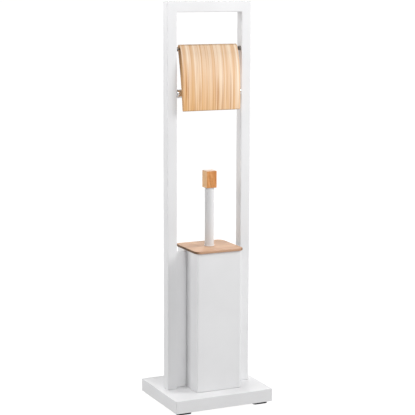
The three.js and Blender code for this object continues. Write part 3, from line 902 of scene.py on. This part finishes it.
def make_bristles():
    """Tufts in staggered rows round the core, and a cap of tufts at its end, trimmed to a round head."""
    box = Box("brush_bristles")
    core = Box("brush_core")
    rng = random.Random(7)
    x, y = box.middle.xy
    widest = box.size.x / 2 - BRUSH_TRIM[0]
    reach_low, reach_high = box.low.z + BRUSH_TRIM[1], box.high.z - BRUSH_TRIM[1]
    core_radius = core.size.x / 2
    vertices, faces = [], []

    def place(radius, angle, z):
        return Vector((x + radius * math.cos(angle), y + radius * math.sin(angle), z))

    def trimmed(z):
        """The head's radius at a height, with round shoulders at both ends."""
        edge = min(z - reach_low, reach_high - z)
        if edge >= BRUSH_SHOULDER:
            return widest
        short = BRUSH_SHOULDER - max(edge, 0)
        return widest - BRUSH_SHOULDER + math.sqrt(max(BRUSH_SHOULDER ** 2 - short ** 2, 0))

    def add_strand(root, tip):
        start = len(vertices)
        end = start + 3 * BRISTLE_STEPS
        bow = Vector((rng.uniform(-1, 1), rng.uniform(-1, 1), rng.uniform(-1, 0.4)))
        vertices.extend(strand(root, tip, bow * BRISTLE_BOW))
        for level in range(start, end, 3):
            for corner in range(3):
                a = level + corner
                b = level + (corner + 1) % 3
                faces.append((a, b, b + 3, a + 3))
        faces.append((start + 2, start + 1, start))
        faces.append((end, end + 1, end + 2))

    first, last = core.low.z + ROW_INSET[0], box.high.z - ROW_INSET[1]
    for row in range(TUFT_ROWS):
        z = first + (last - first) * row / (TUFT_ROWS - 1)
        for tuft in range(TUFTS_IN_A_ROW):
            angle = 2 * math.pi * (tuft + 0.5 * (row % 2)) / TUFTS_IN_A_ROW
            for _ in range(BRISTLES_IN_A_TUFT):
                root_angle = angle + rng.gauss(0, ROOT_SPREAD[0])
                tip_angle = angle + rng.gauss(0, TIP_SPREAD[0])
                tip_z = min(max(z + rng.gauss(0, TIP_SPREAD[1]), reach_low + MM), reach_high - MM)
                length = trimmed(tip_z) - abs(rng.gauss(0, TIP_TRIM_SPREAD))
                root = place(core_radius, root_angle, z + rng.gauss(0, ROOT_SPREAD[1]))
                add_strand(root, place(length, tip_angle, tip_z))
    for ring, count in END_TUFTS:
        for tuft in range(count):
            angle = 2 * math.pi * tuft / count
            for _ in range(BRISTLES_IN_A_TUFT):
                lean = ring * END_FAN + rng.gauss(0, END_TIP_SPREAD[1])
                tip_angle = angle + rng.gauss(0, END_TIP_SPREAD[0])
                root = place(ring, angle, core.low.z + END_ROOT_DEPTH)
                drop = reach_low + abs(rng.gauss(0, END_TRIM_SPREAD)) + END_RISE * lean
                add_strand(root, place(lean, tip_angle, drop))
    mesh = bpy.data.meshes.new("bristles")
    mesh.from_pydata([tuple(v) for v in vertices], [], faces)
    bm = bmesh.new()
    bm.from_mesh(mesh)
    bpy.data.meshes.remove(mesh)
    piece(
        "brush_bristle_tufts", bm, NYLON, "brush", ["brush_bristles"],
        sharp=80, weighted=False)


# ---- Roll spindle ------------------------------------------------------------------------------

def make_spindle():
    """Two tubes, one sliding in the other, and a flanged plug with a pin in the end of each."""
    outer, inner = Box("spindle_outer_tube"), Box("spindle_inner_tube")
    line = (0, outer.middle.y, outer.middle.z)
    wall = SPINDLE_WALL
    outer_radius, radius = outer.size.z / 2, inner.size.z / 2
    profile = ring_profile(outer_radius - wall, outer_radius, outer.low.x, outer.high.x, SLEEVE_EDGE, 3)
    sleeve = turned(profile, line, "X", 64, closed=True)
    piece("spindle_sleeve", sleeve, CHROME, "spindle_outer", ["spindle_outer_tube"])

    closed_end, open_end = inner.low.x, inner.high.x
    outline = [
        (HUB, closed_end), (radius, closed_end), (radius, open_end), (radius - wall, open_end),
        (radius - wall, closed_end + wall), (HUB, closed_end + wall)]
    slider = turned(filleted(outline, SLIDER_EDGES, 3), line, "X", 64)
    piece("spindle_slider", slider, CHROME, "spindle_inner", ["spindle_inner_tube"])

    for side, body, tube in (("left", "spindle_outer", outer_radius), ("right", "spindle_inner", radius)):
        node = f"spindle_{side}_plug"
        box = Box(node)
        sign = SIGN[side]
        spigot = tube - wall - GAP
        flange = box.size.z / 2
        tip = box.high.x if sign > 0 else -box.low.x
        face = tip - PLUG_PIN_LENGTH
        shoulder = face - PLUG_FLANGE_WIDTH
        start = shoulder - PLUG_SPIGOT_LENGTH
        outline = [
            (HUB, start), (spigot, start), (spigot, shoulder), (flange, shoulder),
            (flange, face), (PLUG_PIN, face), (PLUG_PIN, tip), (PLUG_NOSE, tip)]
        profile = filleted(outline, PLUG_EDGES)
        plug = turned([(r, sign * h) for r, h in profile], line, "X", 64)
        piece(f"{node}_body", plug, CHROME, body, [node])


def make_spring():
    """A coil inside the outer tube that bears on the inner tube's closed end, and rides with the inner tube.
    """
    box = Box("spindle_spring")
    wire = SPRING_WIRE
    coil = box.size.z / 2 - wire
    length = box.size.x - 2 * wire
    per_turn, around = 28, 8
    total = SPRING_TURNS * per_turn
    open_turns = SPRING_TURNS - 2 * SPRING_CLOSED_TURNS
    rings = []
    for step in range(total + 1):
        angle = 2 * math.pi * step / per_turn
        share = step / total
        opened = min(max((share * SPRING_TURNS - SPRING_CLOSED_TURNS) / open_turns, 0), 1)
        climb = SPRING_CLOSED_RISE * share + (1 - SPRING_CLOSED_RISE) * opened
        middle = Vector((
            box.low.x + wire + length * climb,
            box.middle.y + coil * math.cos(angle),
            box.middle.z + coil * math.sin(angle)))
        outward = Vector((0, math.cos(angle), math.sin(angle)))
        ring = []
        for corner in range(around):
            turn = 2 * math.pi * corner / around
            ring.append(middle + wire * (math.cos(turn) * outward + Vector((math.sin(turn), 0, 0))))
        rings.append(ring)
    spring = piece(
        "spindle_spring_coil", loft(rings), ZINC, "spindle_inner", ["spindle_spring"],
        sharp=60, weighted=False)
    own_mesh(spring)


# ---- Roll flap ---------------------------------------------------------------------------------

def bezier(start, control, end, steps):
    """Points along a curve from start to end that is pulled towards control."""
    points = []
    for step in range(steps + 1):
        t = step / steps
        points.append((1 - t) ** 2 * start + 2 * t * (1 - t) * control + t * t * end)
    return points


def arc(middle, radius, first, last, steps):
    """Points along a circle from one angle to another."""
    points = []
    for step in range(steps + 1):
        angle = first + (last - first) * step / steps
        points.append(middle + radius * Vector((math.cos(angle), math.sin(angle))))
    return points


def flap_outline():
    """The flap's side outline as (y, z): round top, bulging front, round lip and hollow back."""
    box = Box("roll_flap")
    top = Vector((box.high.y - FLAP_TOP, box.high.z - FLAP_TOP))
    lip = Vector((top.x - FLAP_LIP_FORWARD, box.low.z + FLAP_LIP))
    crown = arc(top, FLAP_TOP, *FLAP_CROWN, 16)
    nose = arc(lip, FLAP_LIP, math.pi, 2 * math.pi, 12)
    front = bezier(crown[-1], top + Vector(FLAP_FRONT_PULL), nose[0], 40)
    back = bezier(nose[-1], top + Vector(FLAP_BACK_PULL), crown[0], 40)
    return crown + front[1:] + nose[1:] + back[1:-1]


def make_flap():
    """The flap board, with a blind bore in each end for a hinge pin."""
    box = Box("roll_flap")
    outline = flap_outline()
    cuts = 8
    rings = []
    for step in range(cuts + 1):
        x = box.low.x + box.size.x * step / cuts
        rings.append([Vector((x, y, z)) for y, z in outline])
    board = loft(rings)
    ends = [face for face in board.faces if len(face.verts) > 4]
    rims = [edge for edge in board.edges if any(face in ends for face in edge.link_faces)]
    bmesh.ops.bevel(board, geom=rims, offset=FLAP_EDGE, segments=3, profile=0.5, affect="EDGES")
    hinge = joint("flap_hinge")["pos_m"]
    bores = []
    for side in SIDES:
        sign = SIGN[side]
        edge = box.middle.x + sign * box.size.x / 2
        mouth = Vector((edge + sign * MM, hinge[1], hinge[2]))
        bottom = Vector((edge - sign * FLAP_BORE_DEPTH, hinge[1], hinge[2]))
        bores.append((mouth, bottom, FLAP_BORE))
    piece("roll_flap_board", drill(board, bores), FLAP_WOOD, "flap", ["roll_flap"])


def make_flap_hinges():
    """A boss on each upright, with the pin that the flap turns on."""
    for side in SIDES:
        node = f"{side}_flap_boss"
        box = Box(node)
        profile = ring_profile(BOSS_BORE, box.size.z / 2, box.low.x, box.high.x, BOSS_EDGE)
        line = (0, box.middle.y, box.middle.z)
        boss = turned(profile, line, "X", closed=True)
        piece(f"{node}_ring", boss, ZINC, "stand", [node])
        node = f"{side}_flap_pin"
        box = Box(node)
        profile = ring_profile(FLAP_PIN_CORE, box.size.z / 2, box.low.x, box.high.x, FLAP_PIN_EDGE)
        pin = turned(profile, line, "X", 32)
        piece(f"{node}_rod", pin, ZINC, "stand", [node])


# ---- Stage -------------------------------------------------------------------------------------

CAMERA_PLACE = (-1.0952, -2.3314, 0.8106)
CAMERA_YAW, CAMERA_PITCH, CAMERA_ROLL = 0.4396, 0.167, 0.0034
CAMERA_LENS = 119.2
CAMERA_SENSOR = 36

# A glow as seen, as mirrored in a surface, and as the light that it casts.
SURROUND_GLOW = (1.06, 0.35, 0.02)
FLOOR_GLOW = (1.0, 0.6, 0.5)
FLOOR_RADIUS = 20

# The studio's square lights: name, place, side and power. All of them face one point.
LIGHTS_FACE = (0, 0, 0.5)
LIGHTS = (
    ("front_right", (1.65, -0.95, 1.5), 1.0, 34),
    ("front", (-0.13, -1.9, 1.5), 0.8, 20.5),
    ("left", (-1.9, 0.17, 1.4), 1.0, 24.5),
    ("rear_right", (1.1, 1.9, 1.2), 1.0, 8),
    ("rear_left", (-1.1, 1.9, 1.2), 1.0, 11),
    ("rear_high", (0, 2.45, 2.46), 1.6, 20),
)


def make_camera():
    """The photo's point of view."""
    camera = bpy.data.cameras.new("camera")
    camera.lens = CAMERA_LENS
    camera.sensor_width = CAMERA_SENSOR
    obj = bpy.data.objects.new("camera", camera)
    bpy.context.scene.collection.objects.link(obj)
    level = Matrix.Rotation(-CAMERA_YAW, 4, "Z") @ Matrix.Rotation(math.pi / 2 - CAMERA_PITCH, 4, "X")
    obj.matrix_world = Matrix.Translation(CAMERA_PLACE) @ level @ Matrix.Rotation(CAMERA_ROLL, 4, "Z")
    bpy.context.scene.camera = obj


def area_light(name, place, size, power):
    light = bpy.data.lights.new(name, "AREA")
    light.shape = "SQUARE"
    light.size = size
    light.energy = power
    obj = bpy.data.objects.new(name, light)
    bpy.context.scene.collection.objects.link(obj)
    towards = Vector(LIGHTS_FACE) - Vector(place)
    turn = towards.to_track_quat("-Z", "Y").to_matrix().to_4x4()
    obj.matrix_world = Matrix.Translation(place) @ turn


def glow_strength(tree, seen, mirrored, lighting):
    """A glow that differs where it is seen, where a surface mirrors it and for the light it casts."""
    ray = tree.nodes.new("ShaderNodeLightPath").outputs
    cast = tree.nodes.new("ShaderNodeMapRange")
    cast.inputs["To Min"].default_value = mirrored
    cast.inputs["To Max"].default_value = lighting
    tree.links.new(ray["Is Diffuse Ray"], cast.inputs["Value"])
    strength = tree.nodes.new("ShaderNodeMapRange")
    strength.inputs["To Max"].default_value = seen
    tree.links.new(ray["Is Camera Ray"], strength.inputs["Value"])
    tree.links.new(cast.outputs[0], strength.inputs["To Min"])
    return strength.outputs[0]


def make_world():
    """A white surround that adds only a little even light."""
    world = bpy.data.worlds.new("studio")
    world.use_nodes = True
    tree = world.node_tree
    surround = tree.nodes["Background"]
    surround.inputs["Color"].default_value = (1, 1, 1, 1)
    tree.links.new(glow_strength(tree, *SURROUND_GLOW), surround.inputs["Strength"])
    return world


def make_floor():
    """A plain white floor that glows, so that shadows on it stay faint."""
    bm = bmesh.new()
    bmesh.ops.create_circle(bm, cap_ends=True, radius=FLOOR_RADIUS, segments=64)
    mesh = bpy.data.meshes.new("floor")
    bm.to_mesh(mesh)
    bm.free()
    floor = bpy.data.objects.new("floor", mesh)
    bpy.context.scene.collection.objects.link(floor)
    s = Shader("floor_white")
    s.set(base_color=(0.1, 0.1, 0.1, 1), roughness=0.9)
    s.set(emission_color=(1, 1, 1, 1), emission_strength=glow_strength(s.tree, *FLOOR_GLOW))
    mesh.materials.append(s.material)


def make_stage():
    scene = bpy.context.scene
    scene.view_settings.view_transform = "Standard"
    scene.world = make_world()
    make_floor()
    for light in LIGHTS:
        area_light(*light)


def main():
    make_camera()
    make_stage()
    make_base()
    make_base_board()
    make_feet()
    make_uprights()
    make_top_bar()
    make_side_panels()
    make_canister()
    make_drip_cup()
    make_fixings()
    make_lid()
    make_handle()
    make_knob()
    make_brush_shaft()
    make_brush_core()
    make_bristles()
    make_spindle()
    make_spring()
    make_flap()
    make_flap_hinges()


main()
